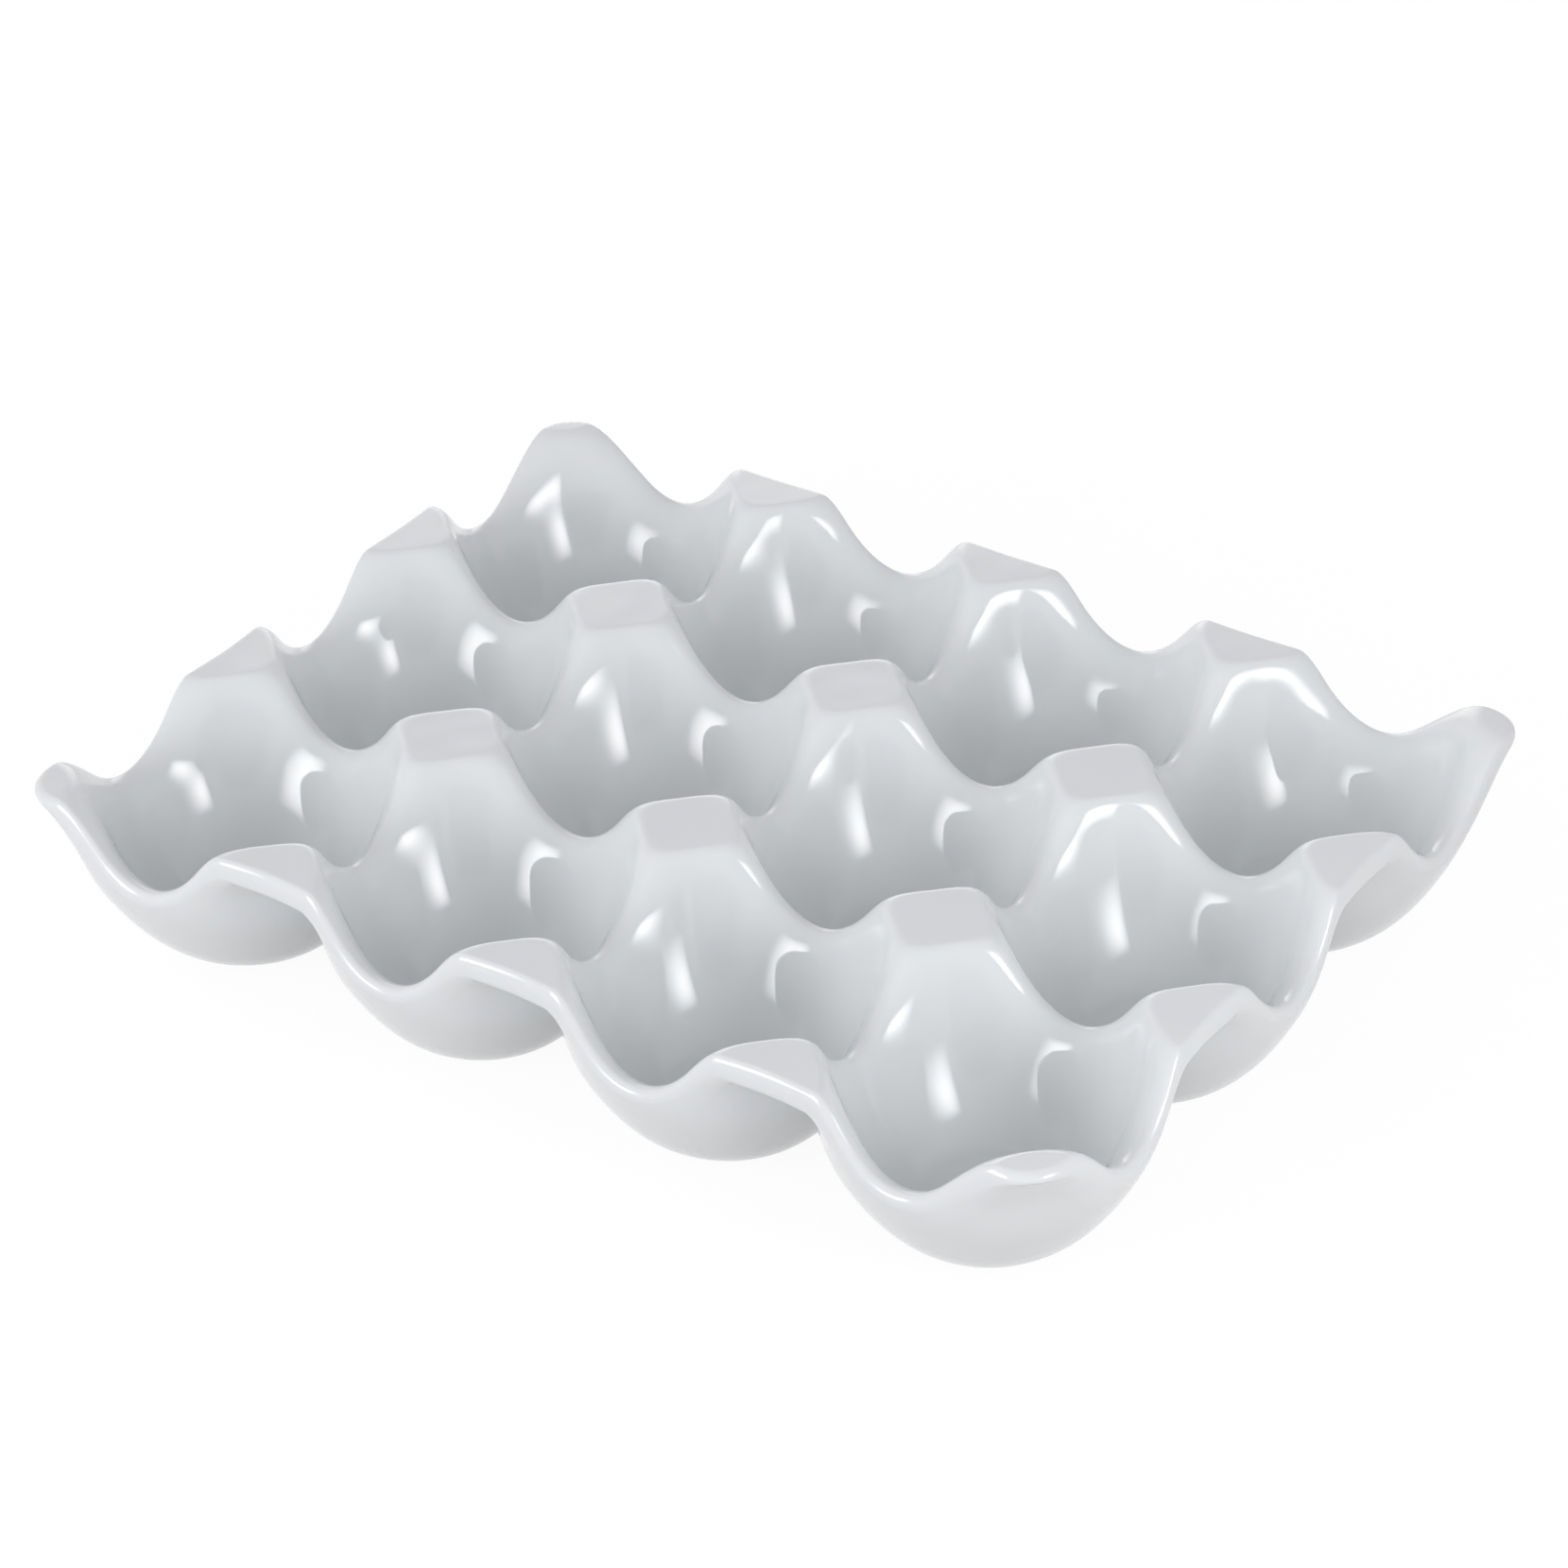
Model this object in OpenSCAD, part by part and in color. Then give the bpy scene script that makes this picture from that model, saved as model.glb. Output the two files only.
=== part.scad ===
// Egg tray in white glazed porcelain: rows of round cups that share their crests.
// Every cup meets its neighbours face to face on the lines midway between them.
// Lengths are in millimetres, +Z is up, and the origin is under the middle of the
// tray, on the surface that it stands on.

/* [Layout] */
// Number of cups along the length
columns = 4; // [2:1:6]
// Number of cups across the width
rows = 3; // [2:1:5]
// Distance between the centres of two cups
pitch = 54; // [48:0.5:62]
// How far the rim stands outside the last cell
edge_margin = 2.4; // [1.5:0.1:4]
// Radius of the tray's corners, seen from above
corner_radius = 8; // [6:0.5:14]

/* [Cups] */
// Height of the flat peak tops above the table
peak_height = 39; // [35:0.5:46]
// Height of the low crests between the cups
saddle_height = 26.4; // [23:0.2:30]
// Height at which the bowl's curve starts
bowl_base = 5.5; // [4.5:0.1:6.5]
// Height of the flat floor inside a cup
floor_height = 7.9; // [7:0.1:9.5]
// Width over which a wall rolls over to its crest
ridge_width = 4.8; // [3:0.1:7]

/* [Shell] */
// Thickness of the rim at its low points, measured upright
rim_thickness = 3.2; // [2.5:0.1:5]
// Thickness of the roof of a peak
peak_thickness = 5.2; // [3:0.1:7]
// Width of the rounding on top of the rim
rim_round = 1.3; // [1:0.1:3.5]
// Width of the rounding under the rim
rim_round_under = 1.6; // [0.5:0.1:2.5]
// How far the upper part of the rim is drawn in between two cups
tuck = 1.6; // [0:0.1:2.5]

/* [Feet] */
// Radius of the bare foot under each cup
foot_radius = 9; // [6:0.1:10]
// Height of that foot
foot_height = 0.8; // [0.5:0.1:1.5]

/* [Hidden] */
// Half a cell, where a wall starts to roll over, where it would cross the crest if it
// did not, and where the rim is
half = pitch / 2;
roll_start = half - ridge_width;
crest_reach = half - ridge_width / 2;
rim_reach = half + edge_margin;
// The bowls rise with the cube of the distance from the cup's axis
bowl_power = 3;
// Softness of the edge of the peak tops and of the floor
peak_blend = 5;
floor_blend = 1;
// Shares of the rim's thickness that its two roundings take
round_share_top = 0.5;
round_share_under = 0.35;
// Shares of the peak height between which the rim starts to be drawn in and is fully so
tuck_low = 0.46;
tuck_full = 0.77;
// The tray's corners are fuller and softer: how far that reaches in along both sides, by
// what share the outer bowl is wider there, how much thinner the lip is, and what is added
// to the softness of the peak on top and below
corner_spread = 36;
corner_bulge = 0.036;
corner_lift = 1.7;
corner_blend = 8;
corner_blend_under = 6;
// Grid of a cell: its quarters and the steps in each, rings on the bowl, from the edge of the
// floor, and on the rolled crest, and arcs along the slope from a low crest to a peak
quarters = 4;
quarter_turn = 90;
quarter_steps = 8;
bowl_rings = 3;
crest_rings = 3;
slope_arcs = 3;
// Sides of a foot
foot_sides = 96;
// Outline of the tray, as half sizes
tray_x = columns * half + edge_margin;
tray_y = rows * half + edge_margin;
// Colours of the glaze and of the bare foot
glaze_colour = [0.86, 0.88, 0.89];
bare_colour = [0.93, 0.91, 0.87];

function cell_name(part, i, j) = str(part, "_", chr(ord("a") + i), j + 1);

// Smaller of two heights, with a soft change from one to the other
function soft_min(a, b, blend) =
    let (near = max(blend - abs(a - b), 0) / blend)
    min(a, b) - near * near * blend / 4;
function soft_max(a, b, blend) = -soft_min(-a, -b, blend);

// Smooth step from 0 to 1
function smooth(share) =
    let (part = min(max(share, 0), 1))
    part * part * (3 - 2 * part);

// Distance from the cup's axis, slowed to a stop over the last stretch before the crest
function rolled(distance) =
    let (left = min(max(half - distance, 0), ridge_width))
    distance < roll_start
        ? distance
        : crest_reach - left * left / (2 * ridge_width);

// Middle of a cell
function cell_centre(i, j) = [(i + 0.5 - columns / 2) * pitch, (j + 0.5 - rows / 2) * pitch];

// How far a point lies inside the tray's outline, which is a rectangle with round corners
function inset(x, y) =
    let (
        px = abs(x) - (tray_x - corner_radius),
        py = abs(y) - (tray_y - corner_radius)
    )
    corner_radius - norm([max(px, 0), max(py, 0)]) - min(max(px, py), 0);

// Quarter round: 1 at the edge of the tray and 0 from the given width inwards
function quarter_round(depth, width) =
    let (near = min(max(1 - depth / width, 0), 1))
    1 - sqrt(1 - near * near);

// Nearness of an outer side: 1 on it, falling smoothly to 0 over the given width
function near_side(position, side, width) = smooth(1 - (side - abs(position)) / width);

// Nearness of the tray's four corners: 1 in a corner and 0 outside its spread
function corner_share(x, y) =
    near_side(x, tray_x, corner_spread) * near_side(y, tray_y, corner_spread);

// Upper side of a cell before the rim is rounded: floor, bowl, crests and flat peaks
function raw_top(u, v, corner) =
    let (
        reach = norm([rolled(abs(u)), rolled(abs(v))]),
        rise = (saddle_height - bowl_base) * pow(reach / crest_reach, bowl_power),
        bowl = soft_max(bowl_base + rise, floor_height, floor_blend)
    )
    soft_min(bowl, peak_height, peak_blend + corner_blend * corner);

// Underside of a cell: flat over the foot, then a wider bowl, hollow under the peaks.
// The bowl runs on to the rim where the cell has no neighbour.
function raw_under(u, v, open_u, open_v, corner) =
    let (
        reach = (1 - corner_bulge * corner) * norm([
            open_u ? abs(u) : rolled(abs(u)),
            open_v ? abs(v) : rolled(abs(v))
        ]),
        foot_rise = pow(foot_radius, bowl_power),
        share = (pow(reach, bowl_power) - foot_rise) / (pow(rim_reach, bowl_power) - foot_rise),
        bowl = foot_height + (saddle_height - rim_thickness - foot_height) * max(share, 0),
        roof = peak_height - peak_thickness + corner_lift * corner
    )
    soft_min(bowl, roof, peak_blend + corner_blend_under * corner);

// Is this side of the cell the tray's outside? The sign of the offset picks the side.
function is_open(index, count, offset) =
    offset > 0 ? index == count - 1 : index == 0;

// Upper and lower heights at a point of a cell, with the rim rounded
function heights(i, j, p) =
    let (
        at = cell_centre(i, j) + p,
        corner = corner_share(at[0], at[1]),
        high = raw_top(p[0], p[1], corner),
        low = raw_under(p[0], p[1], is_open(i, columns, p[0]), is_open(j, rows, p[1]), corner),
        depth = max(inset(at[0], at[1]), 0),
        cut_top = round_share_top * quarter_round(depth, rim_round),
        cut_under = round_share_under * quarter_round(depth, rim_round_under)
    )
    [high - (high - low) * cut_top, low + (high - low) * cut_under];

// 1 on the line between two cups, 0 on a cup's axis and on the tray's outer half cells
function between_cups(offset, index, count) =
    is_open(index, count, offset) ? 0 : smooth(abs(offset) / half);

// Point of a cell at a height, drawn in from the rim between two cups
function tucked(i, j, p, z) =
    let (
        at = cell_centre(i, j) + p,
        high = smooth((z / peak_height - tuck_low) / (tuck_full - tuck_low)),
        pull_x = near_side(at[0], tray_x, half) * between_cups(p[1], j, rows),
        pull_y = near_side(at[1], tray_y, half) * between_cups(p[0], i, columns)
    )
    [p[0] - sign(at[0]) * tuck * high * pull_x, p[1] - sign(at[1]) * tuck * high * pull_y, z];

// Opposite of rolled()
function unrolled(reach) =
    reach < roll_start
        ? reach
        : half - sqrt(2 * ridge_width * max(crest_reach - reach, 0));

// Reach at which the bowl would come to a given height
function reach_at(height) =
    let (share = (height - bowl_base) / (saddle_height - bowl_base))
    crest_reach * pow(share, 1 / bowl_power);

// Levels of the rings: closed rings up to the crest, then arcs that climb each peak
floor_reach = max(reach_at(floor_height), foot_radius + floor_blend);
ring_levels = concat(
    [foot_radius],
    [for (n = [0:bowl_rings - 1])
        floor_reach + (roll_start - floor_reach) * n / (bowl_rings - 1)],
    [for (n = [1:crest_rings]) crest_reach - ridge_width / 2 * pow(1 - n / crest_rings, 2)]
);
slope_length = sqrt(pow(reach_at(peak_height - peak_blend), 2) - pow(crest_reach, 2));
arc_levels = concat(
    [for (n = [1:slope_arcs]) norm([crest_reach, slope_length * n / slope_arcs])],
    [reach_at(peak_height), reach_at(peak_height + peak_blend)]
);
levels = concat(ring_levels, arc_levels);
rings = len(ring_levels);
arcs = len(arc_levels);

// On an open side the crest rings are drawn out to the rim, with the last but one where the
// rim's rounding starts. These are the width that they cover, that ring's share of them, and
// how steeply they set out, which between 0 and 2 keeps them in order.
rim_way = rim_reach - roll_start;
last_share = 1 - 1 / crest_rings;
rim_curve = (1 - rim_round / rim_way - last_share * last_share) / (last_share * (1 - last_share));
rim_start = min(max(rim_curve, 0), 2);

// One coordinate of a grid point: unrolled, and drawn out to the rim on an open side
function spread(offset, index, count) =
    let (
        distance = unrolled(min(abs(offset), crest_reach)),
        share = max(distance - roll_start, 0) / ridge_width,
        drawn_out = roll_start + rim_way * share * (rim_start + (1 - rim_start) * share),
        outer = is_open(index, count, offset) && share > 0
    )
    sign(offset) * (outer ? drawn_out : distance);

// Draws a point in to the tray's round corner where the cell has one
function cornered(i, j, p) =
    let (
        outside = is_open(i, columns, p[0]) && is_open(j, rows, p[1]),
        from_middle = [abs(p[0]), abs(p[1])],
        arc_middle = (rim_reach - corner_radius) * [1, 1],
        d = from_middle - arc_middle,
        in_corner = outside && min(d) > 0,
        drawn = in_corner ? arc_middle + d * max(d) / norm(d) : from_middle
    )
    [sign(p[0]) * drawn[0], sign(p[1]) * drawn[1]];

// Grid point in plan. Steps crowd towards the ends of a quarter turn, where the crests are.
function grid_point(i, j, level, quarter, step) =
    let (
        start = level > crest_reach ? acos(crest_reach / level) : 0,
        share = (1 - cos(2 * quarter_turn * step / quarter_steps)) / 2,
        angle = quarter_turn * quarter + start + (quarter_turn - 2 * start) * share,
        p = [level * cos(angle), level * sin(angle)]
    )
    cornered(i, j, [spread(p[0], i, columns), spread(p[1], j, rows)]);

// Plan of a whole cell: its middle, the closed rings, the arcs, then its four corners
function cell_plan(i, j) = concat(
    [[0, 0]],
    [for (n = [0:rings - 1], q = [0:quarters - 1], k = [0:quarter_steps - 1])
        grid_point(i, j, levels[n], q, k)],
    [for (n = [rings:rings + arcs - 1], q = [0:quarters - 1], k = [0:quarter_steps])
        grid_point(i, j, levels[n], q, k)],
    [for (q = [0:quarters - 1]) grid_point(i, j, crest_reach * sqrt(2), q, 0)]
);

// Where a grid point is kept in that list
ring_size = quarters * quarter_steps;
arc_size = quarter_steps + 1;
first_arc = 1 + rings * ring_size;
first_corner = first_arc + arcs * quarters * arc_size;
plan_size = first_corner + quarters;
function place(n, q, k) =
    n < rings
        ? 1 + n * ring_size + (q * quarter_steps + k) % ring_size
        : n < rings + arcs
            ? first_arc + ((n - rings) * quarters + q) * arc_size + k
            : first_corner + q;

// Triangles of one side of the cell, seen from above
sheet_faces = concat(
    [for (k = [0:ring_size - 1]) [0, 1 + k, 1 + (k + 1) % ring_size]],
    [for (n = [0:rings + arcs - 2], q = [0:quarters - 1], k = [0:quarter_steps - 1])
        each [
            [place(n, q, k), place(n + 1, q, k), place(n + 1, q, k + 1)],
            [place(n, q, k), place(n + 1, q, k + 1), place(n, q, k + 1)]
        ]],
    [for (q = [0:quarters - 1], k = [0:quarter_steps - 1])
        let (n = rings + arcs - 1)
        [place(n, q, k), place(n + 1, q, 0), place(n, q, k + 1)]]
);

// The cell's outline, once round: up one side of each quarter and down its other side
outline = [
    for (q = [0:quarters - 1])
        each concat(
            [for (n = [rings - 1:rings + arcs]) place(n, q, 0)],
            [for (n = [rings + arcs - 1:-1:rings]) place(n, q, quarter_steps)]
        )
];

// A cup with its share of the crests and peaks around it
module cup(i, j) {
    plan = cell_plan(i, j);
    both = [for (p = plan) heights(i, j, p)];
    points = concat(
        [for (n = [0:plan_size - 1]) tucked(i, j, plan[n], both[n][0])],
        [for (n = [0:plan_size - 1]) tucked(i, j, plan[n], both[n][1])]
    );
    count = len(outline);
    walls = [
        for (n = [0:count - 1])
            let (
                a = outline[n],
                b = outline[(n + 1) % count]
            )
            each [[a, b, b + plan_size], [a, b + plan_size, a + plan_size]]
    ];
    faces = concat(
        [for (f = sheet_faces) [f[0], f[2], f[1]]],
        [for (f = sheet_faces) [f[0] + plan_size, f[1] + plan_size, f[2] + plan_size]],
        walls
    );
    color(glaze_colour)
        translate(cell_centre(i, j))
            polyhedron(points, faces);
}

// The bare foot under a cup, a flat disc that the glaze stops at
module foot(i, j) {
    color(bare_colour)
        translate(cell_centre(i, j))
            cylinder(h = foot_height, r = foot_radius, $fn = foot_sides);
}

for (i = [0:columns - 1], j = [0:rows - 1]) {
    cup(i, j);
    foot(i, j);
}
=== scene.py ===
"""White glazed porcelain egg tray on a pale floor, in soft studio light."""
import math

import bpy
import numpy as np
from mathutils import Matrix, Vector


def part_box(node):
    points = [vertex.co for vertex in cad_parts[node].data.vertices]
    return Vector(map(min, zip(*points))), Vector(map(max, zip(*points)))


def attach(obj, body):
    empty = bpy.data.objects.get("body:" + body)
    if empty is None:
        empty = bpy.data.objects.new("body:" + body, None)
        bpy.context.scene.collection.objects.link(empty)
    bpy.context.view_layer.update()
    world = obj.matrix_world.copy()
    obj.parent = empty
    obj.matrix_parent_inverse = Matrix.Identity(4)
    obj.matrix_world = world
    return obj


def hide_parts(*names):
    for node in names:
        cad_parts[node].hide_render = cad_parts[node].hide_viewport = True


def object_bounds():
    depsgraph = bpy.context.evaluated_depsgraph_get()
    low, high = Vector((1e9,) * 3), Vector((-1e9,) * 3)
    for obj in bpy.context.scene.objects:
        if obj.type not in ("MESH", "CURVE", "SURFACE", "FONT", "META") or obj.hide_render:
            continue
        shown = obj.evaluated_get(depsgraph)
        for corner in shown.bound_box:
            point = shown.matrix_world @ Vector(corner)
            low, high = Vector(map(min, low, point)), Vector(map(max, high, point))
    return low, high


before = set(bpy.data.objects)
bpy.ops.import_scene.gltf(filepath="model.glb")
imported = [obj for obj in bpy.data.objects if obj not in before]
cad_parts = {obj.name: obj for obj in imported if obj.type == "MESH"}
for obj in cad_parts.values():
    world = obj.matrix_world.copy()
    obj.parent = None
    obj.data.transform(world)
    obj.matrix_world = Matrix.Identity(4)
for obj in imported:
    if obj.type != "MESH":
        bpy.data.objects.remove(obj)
cad_low, cad_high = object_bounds()

# Sizes that the frame gives, in metres
CUPS = sorted(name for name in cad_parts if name.startswith("cup_"))
FEET = sorted(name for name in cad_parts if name.startswith("foot_"))
COLUMNS = len({name[-2] for name in CUPS})
ROWS = len({name[-1] for name in CUPS})
INNER_LOW, INNER_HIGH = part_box("cup_b2")
FOOT_LOW, FOOT_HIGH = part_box("foot_b2")
PITCH = INNER_HIGH.x - INNER_LOW.x
HALF = PITCH / 2
TRAY_X = cad_high.x
TRAY_Y = cad_high.y
PEAK_HEIGHT = cad_high.z
EDGE_MARGIN = TRAY_X - COLUMNS * HALF
FOOT_RADIUS = (FOOT_HIGH.x - FOOT_LOW.x) / 2
FOOT_HEIGHT = FOOT_HIGH.z

# Sizes of the porcelain between those
CORNER_RADIUS = 0.0082
SADDLE_HEIGHT = 0.0264
BOWL_BASE = 0.0055
FLOOR_HEIGHT = 0.0079
RIDGE_WIDTH = 0.006
RIM_THICKNESS = 0.0032
PEAK_THICKNESS = 0.0052
PEAK_BLEND = 0.005
FLOOR_BLEND = 0.0005
BOWL_POWER = 3
ROLL_POWER = 1.5
CREST_REACH = HALF - RIDGE_WIDTH / (1 + ROLL_POWER)
RIM_REACH = HALF + EDGE_MARGIN

# Width over which a wall rolls over at the rim, and the underside between two cups
RIM_ROLL_WIDTH = 0.007
HOLLOW_WIDTH = 0.002

# Roundings of the rim: their widths on top and below, and their shares of the rim's thickness
RIM_ROUND = 0.0013
RIM_ROUND_UNDER = 0.0016
ROUND_SHARE_TOP = 0.5
ROUND_SHARE_UNDER = 0.35

# The tray's four corners are fuller and softer: how far that reaches in along both sides, how much
# wider the outer bowl is there, how much thinner the lip is, what is added to the softness of the
# peak's underside, and the roundings of the rim with their own reach
CORNER_SPREAD = 0.036
CORNER_BULGE = 0.038
CORNER_LIFT = 0.003
CORNER_BLEND_UNDER = 0.006
CORNER_ROUND = 0.0021
CORNER_ROUND_UNDER = 0.005
CORNER_SHARE_TOP = 0.64
ROUND_SPREAD = 0.014

# The rim is drawn in between two cups, on each side by its own amount, from a height upwards
TUCK_NEAR = 0.0022
TUCK_FAR = 0.0008
TUCK_LEFT = 0.0015
TUCK_RIGHT = 0.0018
TUCK_LOW = 0.018
TUCK_FULL = 0.030

# The tray came out of the kiln a little out of true, each corner by its own amount: what is added to
# the softness of its peak, and how far the corner and its tip lie outwards along their diagonal.
# Then how far those two shifts reach in, and how much higher the far side is
CORNERS = {
    (-1, -1): (0.008, 0.0017, -0.0016),
    (1, -1): (0.008, -0.0006, -0.0016),
    (1, 1): (0.011, 0.0003, 0.0010),
    (-1, 1): (0.014, -0.0025, -0.0006),
}
SHIFT_SPREAD = 0.067
TIP_SPREAD = 0.030
FAR_RISE = 0.0004
RISE_FULL = 0.020

# Ripples of the glaze: how many waves, their lengths and how steep they are
RIPPLE_SEED = 11
RIPPLE_COUNT = 28
RIPPLE_LENGTHS = (0.007, 0.022)
RIPPLE_SLOPE = 0.011

# Mesh of the tray: lines across a cell, how much they crowd at its crests, lines across the rim, and
# a length that keeps a division from being by zero
CELL_LINES = 72
CELL_CROWD = 0.5
RIM_LINES = 18
LEAST_LENGTH = 1e-9


def soft_min(a, b, blend):
    """Smaller of two heights, with a soft change from one to the other."""
    near = np.maximum(blend - np.abs(a - b), 0) / blend
    return np.minimum(a, b) - near * near * blend / 4


def soft_max(a, b, blend):
    """Larger of two heights, with the same soft change."""
    return -soft_min(-a, -b, blend)


def rolled(distance, stop, width, power):
    """Distance from a cup's axis, slowed to a stop over the last stretch before a crest."""
    start = stop - width
    turn = np.clip((distance - start) / width, 0, 1)
    slowed = turn - turn ** (1 + power) / (1 + power)
    return np.minimum(distance, start) + width * slowed


def smooth(share):
    """Smooth step from 0 to 1."""
    part = np.clip(share, 0, 1)
    return part * part * (3 - 2 * part)


def cup_offset(position, count):
    """Distance from the axis of the nearest cup along one direction."""
    index = np.clip(np.floor(position / PITCH + count / 2), 0, count - 1)
    return np.abs(position - (index + 0.5 - count / 2) * PITCH)


def quarter_round(depth, width):
    """1 at the edge of the tray and 0 from the given width inwards."""
    near = np.clip(1 - depth / width, 0, 1)
    return 1 - np.sqrt(1 - near * near)


def corner_share(x, y, spread):
    """1 at the tray's four corners, falling smoothly to 0 along both sides."""
    near_x = smooth(1 - (TRAY_X - np.abs(x)) / spread)
    near_y = smooth(1 - (TRAY_Y - np.abs(y)) / spread)
    return near_x * near_y


def at_corner(x, y, side_x, side_y):
    """Does a point lie in the quarter of the tray with this corner?"""
    return (x * side_x > 0) & (y * side_y > 0)


def is_open(position, count):
    """Is this the outer half of a cup at the edge of the tray?"""
    return np.abs(position) > (count - 1) * HALF


def top_offset(position, count):
    """Distance from the cup's axis along one direction, rolled over at the crest or the rim."""
    offset = cup_offset(position, count)
    inner = rolled(offset, HALF, RIDGE_WIDTH, ROLL_POWER)
    outer = rolled(offset, CREST_REACH + RIM_ROLL_WIDTH / 2, RIM_ROLL_WIDTH, 1)
    return np.where(is_open(position, count), outer, inner)


def under_offset(position, count):
    """The same for the underside, which runs on to the rim where the cup has no neighbour."""
    offset = cup_offset(position, count)
    inner = rolled(offset, HALF, HOLLOW_WIDTH, ROLL_POWER)
    return np.where(is_open(position, count), offset, inner)


def raw_top(x, y):
    """Upper side before the rim is rounded: floors, bowls, crests and flat peaks."""
    reach = np.hypot(top_offset(x, COLUMNS), top_offset(y, ROWS))
    rise = (SADDLE_HEIGHT - BOWL_BASE) * (reach / CREST_REACH) ** BOWL_POWER
    bowl = soft_max(BOWL_BASE + rise, FLOOR_HEIGHT, FLOOR_BLEND)
    added = 0
    for (side_x, side_y), (soft, _, _) in CORNERS.items():
        added = added + soft * at_corner(x, y, side_x, side_y)
    return soft_min(bowl, PEAK_HEIGHT, PEAK_BLEND + added * corner_share(x, y, CORNER_SPREAD))


def raw_under(x, y):
    """Underside: flat over the feet, then wider bowls, hollow under the peaks."""
    reach = np.hypot(under_offset(x, COLUMNS), under_offset(y, ROWS))
    corner = corner_share(x, y, CORNER_SPREAD)
    reach = reach * (1 - CORNER_BULGE * corner)
    foot_rise = FOOT_RADIUS ** BOWL_POWER
    share = (reach ** BOWL_POWER - foot_rise) / (RIM_REACH ** BOWL_POWER - foot_rise)
    bowl = FOOT_HEIGHT + (SADDLE_HEIGHT - RIM_THICKNESS - FOOT_HEIGHT) * np.maximum(share, 0)
    roof = PEAK_HEIGHT - PEAK_THICKNESS + CORNER_LIFT * corner
    return soft_min(bowl, roof, PEAK_BLEND + CORNER_BLEND_UNDER * corner)


def ripples(x, y):
    """Small waves that the glaze has after firing."""
    draw = np.random.default_rng(RIPPLE_SEED)
    height = np.zeros_like(x)
    for _ in range(RIPPLE_COUNT):
        length = draw.uniform(*RIPPLE_LENGTHS)
        turn = draw.uniform(0, math.pi)
        phase = draw.uniform(0, 2 * math.pi)
        way = (x * math.cos(turn) + y * math.sin(turn)) * 2 * math.pi / length
        height += length * np.sin(way + phase)
    return height * RIPPLE_SLOPE / (2 * math.pi * math.sqrt(RIPPLE_COUNT / 2))


def axis_lines(half_size, count):
    """Grid lines along one direction, crowding at the crests and towards the rim."""
    cells = np.arange(count * CELL_LINES + 1) / CELL_LINES
    lines = cells - CELL_CROWD * np.sin(2 * math.pi * cells) / (2 * math.pi)
    lines = (lines - count / 2) * PITCH
    inner = half_size - CORNER_ROUND_UNDER
    turns = np.linspace(0, math.pi / 2, RIM_LINES + 1)
    rim = inner + CORNER_ROUND_UNDER * np.sin(turns)
    return np.concatenate([-rim[::-1], lines[np.abs(lines) < inner], rim])


def tray_plan():
    """Grid of the whole tray in plan with round corners, and each point's depth from the rim."""
    x, y = np.meshgrid(axis_lines(TRAY_X, COLUMNS), axis_lines(TRAY_Y, ROWS))
    depth = np.minimum(TRAY_X - np.abs(x), TRAY_Y - np.abs(y))
    px = np.abs(x) - (TRAY_X - CORNER_RADIUS)
    py = np.abs(y) - (TRAY_Y - CORNER_RADIUS)
    corner = (px > 0) & (py > 0)
    pull = np.where(corner, np.maximum(px, py) / np.maximum(np.hypot(px, py), LEAST_LENGTH), 1)
    x = np.where(corner, np.sign(x) * (TRAY_X - CORNER_RADIUS + px * pull), x)
    y = np.where(corner, np.sign(y) * (TRAY_Y - CORNER_RADIUS + py * pull), y)
    return x, y, depth


def tray_heights(x, y, depth):
    """Heights of the upper side and the underside, with the rim rounded."""
    high = raw_top(x, y)
    low = raw_under(x, y)
    thick = high - low
    share = corner_share(x, y, ROUND_SPREAD)
    width = RIM_ROUND + (CORNER_ROUND - RIM_ROUND) * share
    width_under = RIM_ROUND_UNDER + (CORNER_ROUND_UNDER - RIM_ROUND_UNDER) * share
    share_top = ROUND_SHARE_TOP + (CORNER_SHARE_TOP - ROUND_SHARE_TOP) * share
    top = high - thick * share_top * quarter_round(depth, width)
    under = low + thick * ROUND_SHARE_UNDER * quarter_round(depth, width_under)
    waves = ripples(x, y)
    return top + waves, under + waves


def between_cups(position, count):
    """1 on the lines between two cups, 0 on their axes and outside the last ones."""
    return np.where(is_open(position, count), 0, smooth(cup_offset(position, count) / HALF))


def as_fired(x, y, z):
    """One sheet of the tray as it came out of the kiln."""
    high = smooth((z - TUCK_LOW) / (TUCK_FULL - TUCK_LOW))
    near_x = smooth(1 - (TRAY_X - np.abs(x)) / HALF)
    near_y = smooth(1 - (TRAY_Y - np.abs(y)) / HALF)
    tuck_x = np.where(x < 0, TUCK_LEFT, -TUCK_RIGHT) * between_cups(y, ROWS) * near_x * high
    tuck_y = np.where(y < 0, TUCK_NEAR, -TUCK_FAR) * between_cups(x, COLUMNS) * near_y * high
    corner = corner_share(x, y, SHIFT_SPREAD) / math.sqrt(2)
    tip = corner_share(x, y, TIP_SPREAD) * high / math.sqrt(2)
    shift_x = 0
    shift_y = 0
    for (side_x, side_y), (_, whole, upper) in CORNERS.items():
        amount = at_corner(x, y, side_x, side_y) * (corner * whole + tip * upper)
        shift_x = shift_x + side_x * amount
        shift_y = shift_y + side_y * amount
    lift = FAR_RISE * smooth(y / TRAY_Y) * np.clip(z / RISE_FULL, 0, 1) ** 2
    return np.stack([x + tuck_x + shift_x, y + tuck_y + shift_y, z + lift], -1)


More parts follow.
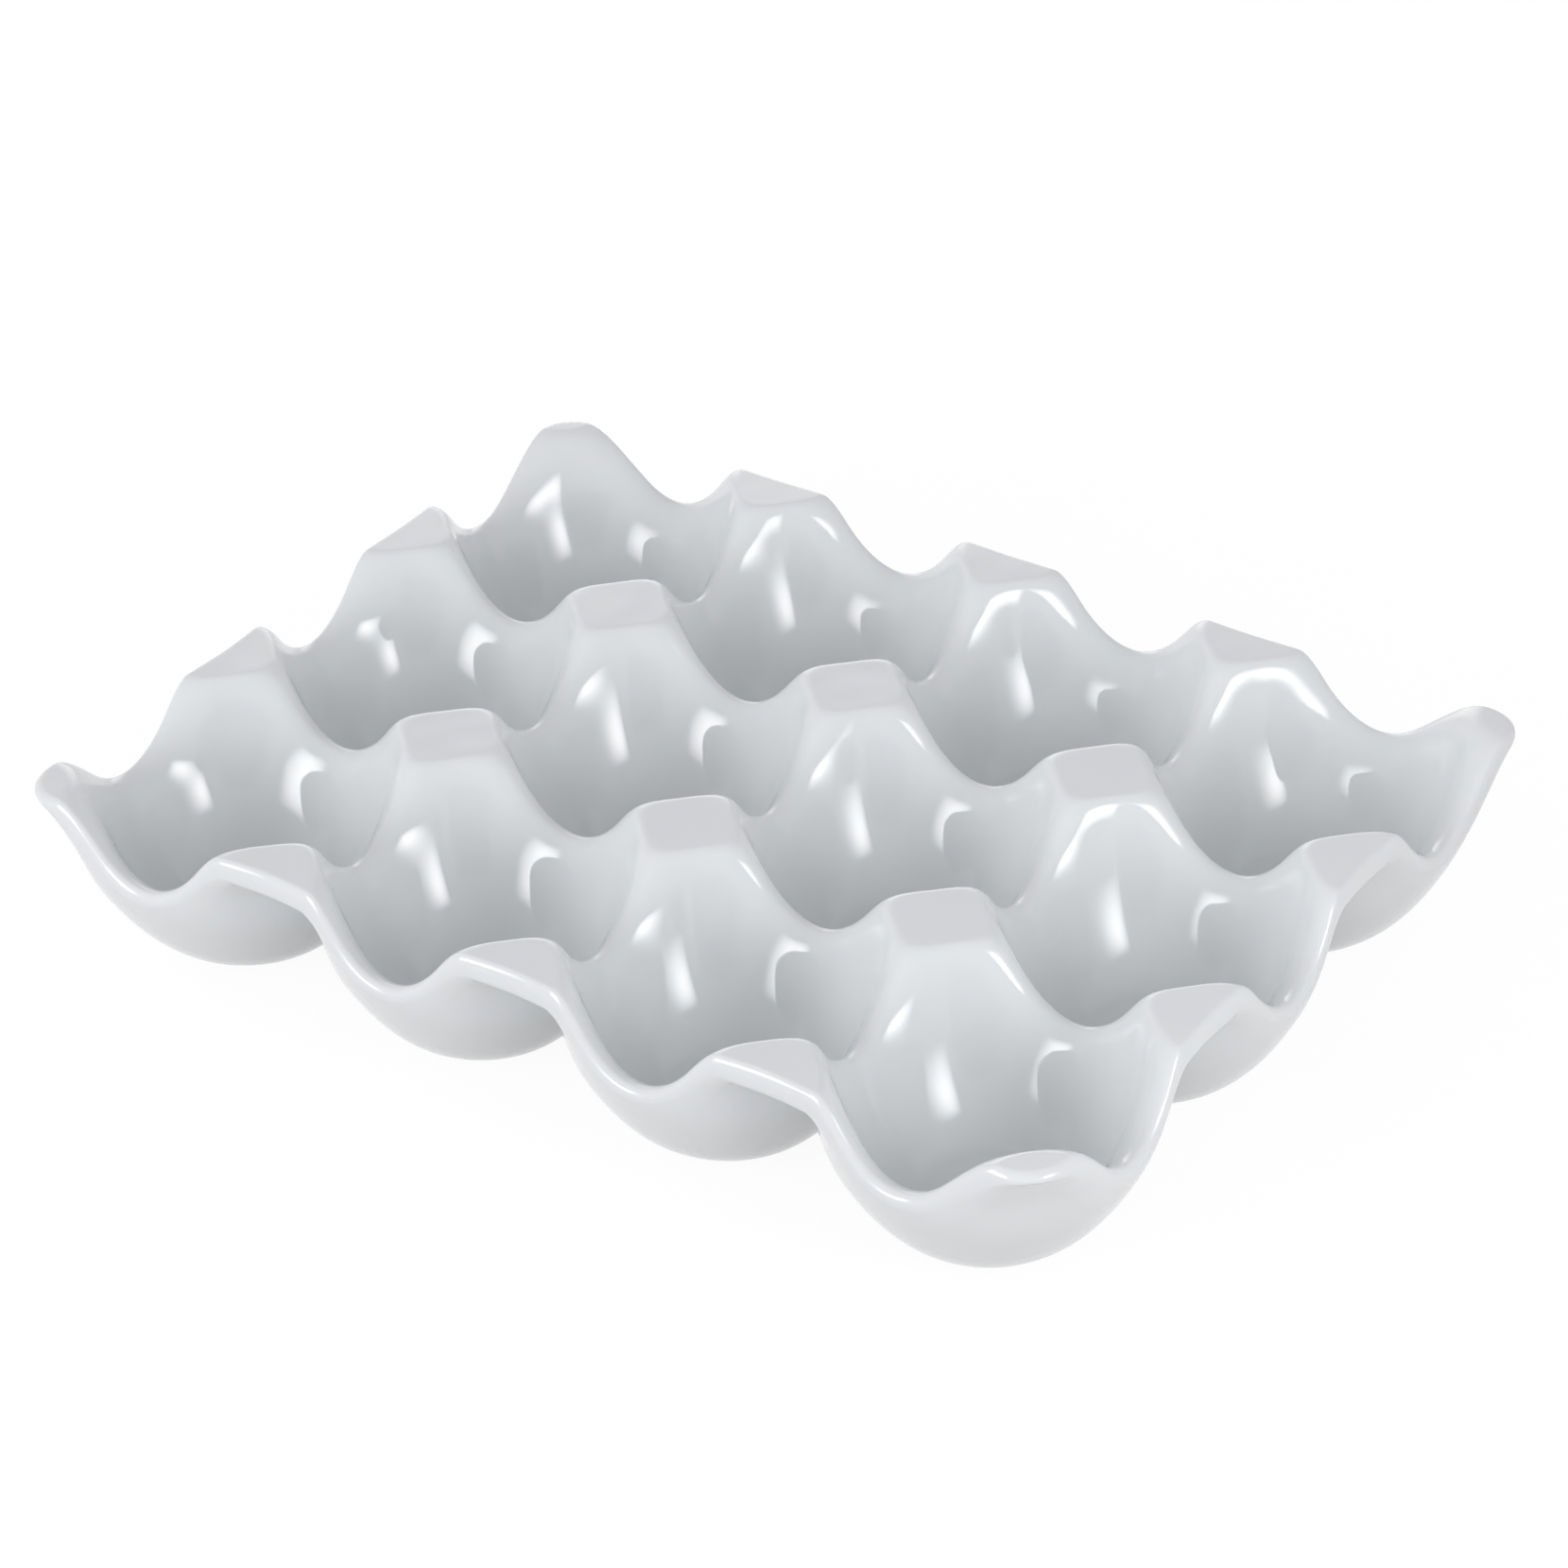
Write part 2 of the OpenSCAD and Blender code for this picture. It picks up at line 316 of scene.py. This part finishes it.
def new_object(name, vertices, faces, material):
    """Mesh object with smooth faces and one material."""
    mesh = bpy.data.meshes.new(name)
    mesh.from_pydata(vertices, [], faces)
    mesh.materials.append(material)
    mesh.polygons.foreach_set("use_smooth", [True] * len(mesh.polygons))
    mesh.update()
    obj = bpy.data.objects.new(name, mesh)
    bpy.context.scene.collection.objects.link(obj)
    return obj


def make_tray(material):
    """The whole tray as one closed skin."""
    x, y, depth = tray_plan()
    heights = tray_heights(x, y, depth)
    rows, columns = x.shape
    count = rows * columns
    place = np.arange(count).reshape(rows, columns)
    a, b, c, d = place[:-1, :-1], place[:-1, 1:], place[1:, 1:], place[1:, :-1]
    upper = np.stack([a, b, c, d], -1).reshape(-1, 4)
    lower = upper[:, ::-1] + count
    edge = np.concatenate([place[0, :-1], place[:-1, -1], place[-1, :0:-1], place[:0:-1, 0]])
    onward = np.roll(edge, -1)
    wall = np.stack([onward, edge, edge + count, onward + count], -1)
    vertices = np.concatenate([as_fired(x, y, z).reshape(-1, 3) for z in heights])
    faces = np.concatenate([upper, lower, wall])
    return new_object("tray_body", vertices.tolist(), faces.tolist(), material)


# Mesh of a foot: points round it, the rounding of its lower edge and the steps of that
FOOT_SEGMENTS = 64
FOOT_ROUND = 0.0003
FOOT_ROUND_STEPS = 4


def make_foot(name, material):
    """The bare foot under one cup: a disc with its lower edge rubbed round."""
    low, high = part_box(name)
    middle = (low + high) / 2
    turns = np.linspace(0, math.pi / 2, FOOT_ROUND_STEPS + 1)
    radii = [FOOT_RADIUS] + list(FOOT_RADIUS - FOOT_ROUND * (1 - np.cos(turns)))
    heights = [high.z] + list(low.z + FOOT_ROUND * (1 - np.sin(turns)))
    angles = np.arange(FOOT_SEGMENTS) * 2 * math.pi / FOOT_SEGMENTS
    vertices = [
        (middle.x + r * math.cos(t), middle.y + r * math.sin(t), z)
        for r, z in zip(radii, heights)
        for t in angles
    ]
    faces = []
    for ring in range(len(radii) - 1):
        for k in range(FOOT_SEGMENTS):
            near = ring * FOOT_SEGMENTS + k
            far = ring * FOOT_SEGMENTS + (k + 1) % FOOT_SEGMENTS
            faces.append((near, near + FOOT_SEGMENTS, far + FOOT_SEGMENTS, far))
    last = (len(radii) - 1) * FOOT_SEGMENTS
    faces.append(tuple(range(last + FOOT_SEGMENTS - 1, last - 1, -1)))
    faces.append(tuple(range(FOOT_SEGMENTS)))
    return new_object("bare_" + name, vertices, faces, material)


# Sockets of a colour mix: its two colours and its result
MIX_FIRST = 6
MIX_SECOND = 7
MIX_RESULT = 2


def principled(name):
    """New node material, with its tree and its principled shader."""
    material = bpy.data.materials.new(name)
    material.use_nodes = True
    tree = material.node_tree
    return material, tree, tree.nodes["Principled BSDF"]


# Glazed porcelain: its two whites and how finely they change, the body's roughness, the glaze's
# roughness and refraction, and the light that goes into the body and out again
GLAZE_COLOUR = (0.694, 0.719, 0.726, 1)
GLAZE_SHADE = (0.679, 0.705, 0.713, 1)
MOTTLE_SCALE = 60
MOTTLE_DETAIL = 3
BODY_ROUGHNESS = 0.35
GLAZE_ROUGHNESS = 0.04
GLAZE_IOR = 1.6
GLOW_WEIGHT = 0.15
GLOW_RADIUS = (1.0, 0.85, 0.7)
GLOW_SCALE = 0.0012


def glaze_material():
    """White porcelain under a clear, glossy, slightly wavy glaze."""
    material, tree, shader = principled("glazed_porcelain")
    nodes, links = tree.nodes, tree.links
    place = nodes.new("ShaderNodeTexCoord")
    mottle = nodes.new("ShaderNodeTexNoise")
    mottle.inputs["Scale"].default_value = MOTTLE_SCALE
    mottle.inputs["Detail"].default_value = MOTTLE_DETAIL
    links.new(place.outputs["Object"], mottle.inputs["Vector"])
    colour = nodes.new("ShaderNodeMix")
    colour.data_type = "RGBA"
    colour.inputs[MIX_FIRST].default_value = GLAZE_COLOUR
    colour.inputs[MIX_SECOND].default_value = GLAZE_SHADE
    links.new(mottle.outputs["Fac"], colour.inputs["Factor"])
    links.new(colour.outputs[MIX_RESULT], shader.inputs["Base Color"])
    shader.inputs["Roughness"].default_value = BODY_ROUGHNESS
    shader.inputs["Coat Weight"].default_value = 1.0
    shader.inputs["Coat Roughness"].default_value = GLAZE_ROUGHNESS
    shader.inputs["Coat IOR"].default_value = GLAZE_IOR
    shader.inputs["Specular IOR Level"].default_value = 0.0
    shader.inputs["Subsurface Weight"].default_value = GLOW_WEIGHT
    shader.inputs["Subsurface Radius"].default_value = GLOW_RADIUS
    shader.inputs["Subsurface Scale"].default_value = GLOW_SCALE
    return material


# Bare porcelain: its two colours, the fineness of its grain, its roughness and how deep the grain is
BARE_COLOUR = (0.72, 0.69, 0.64, 1)
BARE_SHADE = (0.62, 0.59, 0.54, 1)
GRAIN_SCALE = 1500
GRAIN_DETAIL = 4
BARE_ROUGHNESS = 0.8
GRAIN_STRENGTH = 0.4
GRAIN_DEPTH = 0.00005


def bare_material():
    """Unglazed porcelain, ground flat: matt, finely grained."""
    material, tree, shader = principled("bare_porcelain")
    nodes, links = tree.nodes, tree.links
    place = nodes.new("ShaderNodeTexCoord")
    grain = nodes.new("ShaderNodeTexNoise")
    grain.inputs["Scale"].default_value = GRAIN_SCALE
    grain.inputs["Detail"].default_value = GRAIN_DETAIL
    links.new(place.outputs["Object"], grain.inputs["Vector"])
    colour = nodes.new("ShaderNodeMix")
    colour.data_type = "RGBA"
    colour.inputs[MIX_FIRST].default_value = BARE_COLOUR
    colour.inputs[MIX_SECOND].default_value = BARE_SHADE
    links.new(grain.outputs["Fac"], colour.inputs["Factor"])
    links.new(colour.outputs[MIX_RESULT], shader.inputs["Base Color"])
    shader.inputs["Roughness"].default_value = BARE_ROUGHNESS
    bump = nodes.new("ShaderNodeBump")
    bump.inputs["Strength"].default_value = GRAIN_STRENGTH
    bump.inputs["Distance"].default_value = GRAIN_DEPTH
    links.new(grain.outputs["Fac"], bump.inputs["Height"])
    links.new(bump.outputs["Normal"], shader.inputs["Normal"])
    return material


# Floor: its size and colour, how much of what is seen of it is its own glow, and that glow's strength
FLOOR_SIZE = 12.0
FLOOR_COLOUR = (0.55, 0.55, 0.55, 1)
FLOOR_GLOW_SHARE = 0.86
FLOOR_GLOW = 1.09


def seen_rays(nodes, links):
    """Light Path output that is 1 for rays that show the background itself."""
    path = nodes.new("ShaderNodeLightPath")
    seen = path.outputs["Is Camera Ray"]
    for kind in ("Is Glossy Ray", "Is Transmission Ray"):
        either = nodes.new("ShaderNodeMath")
        either.operation = "MAXIMUM"
        links.new(seen, either.inputs[0])
        links.new(path.outputs[kind], either.inputs[1])
        seen = either.outputs[0]
    return seen


def make_floor():
    """Pale floor that is seen as white but keeps the tray's shadow."""
    material, tree, shader = principled("floor")
    nodes, links = tree.nodes, tree.links
    shader.inputs["Base Color"].default_value = FLOOR_COLOUR
    shader.inputs["Roughness"].default_value = 1.0
    shader.inputs["Specular IOR Level"].default_value = 0.0
    glow = nodes.new("ShaderNodeEmission")
    glow.inputs["Strength"].default_value = FLOOR_GLOW
    share = nodes.new("ShaderNodeMath")
    share.operation = "MULTIPLY"
    share.inputs[1].default_value = FLOOR_GLOW_SHARE
    links.new(seen_rays(nodes, links), share.inputs[0])
    mix = nodes.new("ShaderNodeMixShader")
    links.new(share.outputs[0], mix.inputs["Fac"])
    links.new(shader.outputs["BSDF"], mix.inputs[1])
    links.new(glow.outputs["Emission"], mix.inputs[2])
    links.new(mix.outputs["Shader"], nodes["Material Output"].inputs["Surface"])
    side = FLOOR_SIZE / 2
    corners = [(-side, -side, 0), (side, -side, 0), (side, side, 0), (-side, side, 0)]
    floor = new_object("floor", corners, [(0, 1, 2, 3)], material)


# Glow of the white cloth round the tray: its level ahead and behind, what it gains to one side and
# upwards, what both sides gain, what is missing overhead, the least level, and its tint
TENT_LEVEL = 0.65
TENT_LEAN = (-0.07, -0.19, 1.3)
TENT_SIDES = 0.27
TENT_TOP = -1.76
TENT_LEAST = 0.15
TENT_TINT = (0.995, 0.973, 1.0, 1)


def make_world():
    """White behind the object, and a soft dome that lights it, dimmer overhead."""
    world = bpy.data.worlds.new("studio")
    bpy.context.scene.world = world
    world.use_nodes = True
    nodes, links = world.node_tree.nodes, world.node_tree.links
    dome = nodes["Background"]
    dome.inputs["Color"].default_value = TENT_TINT
    place = nodes.new("ShaderNodeTexCoord")
    square = nodes.new("ShaderNodeVectorMath")
    square.operation = "MULTIPLY"
    links.new(place.outputs["Generated"], square.inputs[0])
    links.new(place.outputs["Generated"], square.inputs[1])
    change = nodes.new("ShaderNodeVectorMath")
    change.operation = "DOT_PRODUCT"
    change.inputs[1].default_value = (TENT_SIDES, 0, TENT_TOP)
    links.new(square.outputs["Vector"], change.inputs[0])
    lean = nodes.new("ShaderNodeVectorMath")
    lean.operation = "DOT_PRODUCT"
    lean.inputs[1].default_value = TENT_LEAN
    links.new(place.outputs["Generated"], lean.inputs[0])
    both = nodes.new("ShaderNodeMath")
    links.new(change.outputs["Value"], both.inputs[0])
    links.new(lean.outputs["Value"], both.inputs[1])
    level = nodes.new("ShaderNodeMath")
    level.inputs[1].default_value = TENT_LEVEL
    links.new(both.outputs[0], level.inputs[0])
    least = nodes.new("ShaderNodeMath")
    least.operation = "MAXIMUM"
    least.inputs[1].default_value = TENT_LEAST
    links.new(level.outputs[0], least.inputs[0])
    links.new(least.outputs[0], dome.inputs["Strength"])
    white = nodes.new("ShaderNodeBackground")
    mix = nodes.new("ShaderNodeMixShader")
    white.inputs["Color"].default_value = (1, 1, 1, 1)
    links.new(seen_rays(nodes, links), mix.inputs["Fac"])
    links.new(dome.outputs["Background"], mix.inputs[1])
    links.new(white.outputs["Background"], mix.inputs[2])
    links.new(mix.outputs["Shader"], nodes["World Output"].inputs["Surface"])


# Lamps shining through white cloth: azimuth in degrees, distance from the middle of the tray,
# height above the floor, width and height of the glow, the brightness of its brightest spot, and how
# lopsided it is: 1 fades alike to both sides, more has that spot nearer to one side. A lamp's power is
# its brightness times its area times the last value
LIGHT_TARGET = Vector((0, 0, 0.02))
LAMPS = {
    "lamp_right": (-11, 0.37, 0.155, 0.21, 0.18, 6.4, 3),
    "lamp_left": (-106, 0.70, 0.215, 0.46, 0.32, 5.9, 1),
    "lamp_back": (128, 0.75, 0.20, 0.60, 0.60, 1.0, 1),
}
POWER_PER_AREA = 4


def glow_across(nodes, links, share, power):
    """Glow along one direction of a lamp: nothing at both edges, and 1 at its brightest."""
    rest = nodes.new("ShaderNodeMath")
    rest.operation = "SUBTRACT"
    rest.inputs[0].default_value = 1
    links.new(share, rest.inputs[1])
    fall = nodes.new("ShaderNodeMath")
    fall.operation = "POWER"
    fall.inputs[1].default_value = power
    links.new(rest.outputs[0], fall.inputs[0])
    both = nodes.new("ShaderNodeMath")
    both.operation = "MULTIPLY"
    links.new(share, both.inputs[0])
    links.new(fall.outputs[0], both.inputs[1])
    level = nodes.new("ShaderNodeMath")
    level.operation = "DIVIDE"
    level.inputs[1].default_value = power ** power / (1 + power) ** (1 + power)
    links.new(both.outputs[0], level.inputs[0])
    return level.outputs[0]


def make_lamp(name, azimuth, distance, height, width, tall, brightness, lopsided):
    """Rectangular lamp that fades to nothing at its edges."""
    light = bpy.data.lights.new(name, "AREA")
    light.shape = "RECTANGLE"
    light.size = width
    light.size_y = tall
    light.energy = brightness * POWER_PER_AREA * width * tall
    light.use_nodes = True
    nodes, links = light.node_tree.nodes, light.node_tree.links
    place = nodes.new("ShaderNodeNewGeometry")
    split = nodes.new("ShaderNodeSeparateXYZ")
    links.new(place.outputs["Parametric"], split.inputs["Vector"])
    level = nodes.new("ShaderNodeMath")
    level.operation = "MULTIPLY"
    links.new(glow_across(nodes, links, split.outputs["X"], lopsided), level.inputs[0])
    links.new(glow_across(nodes, links, split.outputs["Y"], 1), level.inputs[1])
    links.new(level.outputs[0], nodes["Emission"].inputs["Strength"])
    obj = bpy.data.objects.new(name, light)
    turn = math.radians(azimuth)
    obj.location = (distance * math.cos(turn), distance * math.sin(turn), height)
    obj.rotation_euler = (obj.location - LIGHT_TARGET).to_track_quat("Z", "Y").to_euler()
    obj.visible_camera = False
    bpy.context.scene.collection.objects.link(obj)


# Camera: heading, pitch and roll in degrees, its distance from the point it looks at, the lens, the
# sensor's width, the shift of its frame and the nearest distance that it shows
CAMERA_HEADING = 125.333
CAMERA_PITCH = 33.374
CAMERA_ROLL = -1.587
CAMERA_DISTANCE = 0.90833
CAMERA_LENS = 113.86
CAMERA_SENSOR = 36
CAMERA_SHIFT = (0.00677, -0.01987)
CAMERA_NEAREST = 0.01


def make_camera():
    """Camera at the photo's angle, looking at the middle of the peaks' height."""
    az, el, roll = (math.radians(a) for a in (CAMERA_HEADING, CAMERA_PITCH, CAMERA_ROLL))
    ahead = Vector((math.cos(el) * math.cos(az), math.cos(el) * math.sin(az), -math.sin(el)))
    level = ahead.cross(Vector((0, 0, 1))).normalized()
    upright = level.cross(ahead)
    right = math.cos(roll) * level + math.sin(roll) * upright
    up = math.cos(roll) * upright - math.sin(roll) * level
    camera = bpy.data.cameras.new("camera")
    camera.sensor_width = CAMERA_SENSOR
    camera.lens = CAMERA_LENS
    camera.shift_x, camera.shift_y = CAMERA_SHIFT
    camera.clip_start = CAMERA_NEAREST
    obj = bpy.data.objects.new("camera", camera)
    turn = Matrix((right, up, -ahead)).transposed().to_4x4()
    place = Vector((0, 0, PEAK_HEIGHT)) - ahead * CAMERA_DISTANCE
    obj.matrix_world = Matrix.Translation(place) @ turn
    bpy.context.scene.collection.objects.link(obj)
    bpy.context.scene.camera = obj


glaze = glaze_material()
bare = bare_material()

tray = make_tray(glaze)
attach(tray, "root")
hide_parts(*CUPS)

for foot_name in FEET:
    foot = make_foot(foot_name, bare)
    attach(foot, "root")
    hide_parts(foot_name)

make_floor()
make_world()
for lamp, values in LAMPS.items():
    make_lamp(lamp, *values)
make_camera()
bpy.context.scene.view_settings.view_transform = "Standard"
